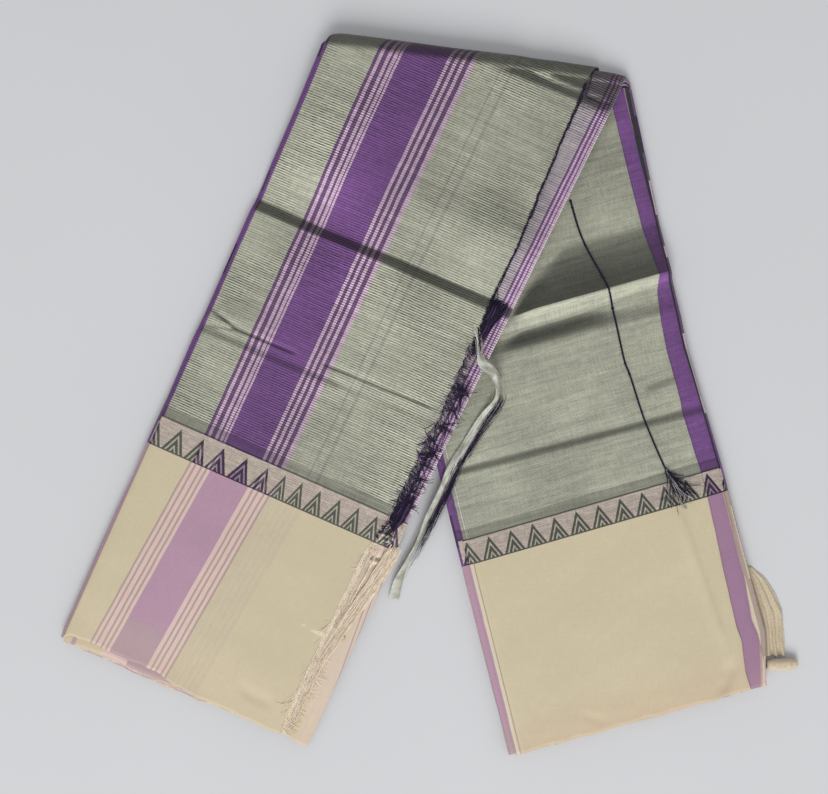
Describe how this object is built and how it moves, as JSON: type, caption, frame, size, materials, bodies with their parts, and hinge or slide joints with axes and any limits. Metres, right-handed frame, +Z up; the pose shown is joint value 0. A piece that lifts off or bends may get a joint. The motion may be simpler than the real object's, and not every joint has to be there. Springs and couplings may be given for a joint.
{
  "type": "saree",
  "caption": "Cotton saree folded lengthwise into a flat strip and laid down in a wedge: striped ribbed field, woven temple bands, plain cream borders and a frayed cut edge.",
  "frame": {"origin": "middle of the laid saree's outline, on the surface that it rests on", "axes": "+Z up from that surface, +Y towards the turn of the folded strip, +X to the right as seen from above with the turn at the top"},
  "size_m": [0.6292, 0.6109, 0.0264],
  "materials": {
    "field_cloth": "matt silver-green cotton with fine ribs",
    "stripe_cloth": "matt purple cotton band between pink lines",
    "mauve_cloth": "purple weft crossing the cream warp",
    "temple_cloth": "dark woven temples on a cream ground",
    "border_cloth": "matt cream cotton",
    "warp_threads": "loose dark navy warp threads",
    "cream_threads": "loose cream warp threads",
    "header_weave": "twisted strip of pale weft"
  },
  "bodies": {
    "root": {"lower_leg_stack": "field_cloth", "lower_leg_field": "field_cloth", "upper_leg_field": "field_cloth", "turn_over": "field_cloth", "lower_leg_second_field": "stripe_cloth", "upper_leg_second_field": "stripe_cloth", "upper_leg_stack": "stripe_cloth", "lower_leg_second_border": "mauve_cloth", "lower_leg_temple_band": "temple_cloth", "upper_leg_temple_band": "temple_cloth", "lower_leg_stack_border": "border_cloth", "lower_leg_border": "border_cloth", "upper_leg_stack_border": "border_cloth", "upper_leg_second_border": "border_cloth", "upper_leg_border": "border_cloth", "loose_corner": "border_cloth", "loose_corner_roll": "border_cloth", "frayed_edge_field": "warp_threads", "thread_tuft": "warp_threads", "frayed_edge_border": "cream_threads", "header_strip": "header_weave"}
  },
  "joints": []
}
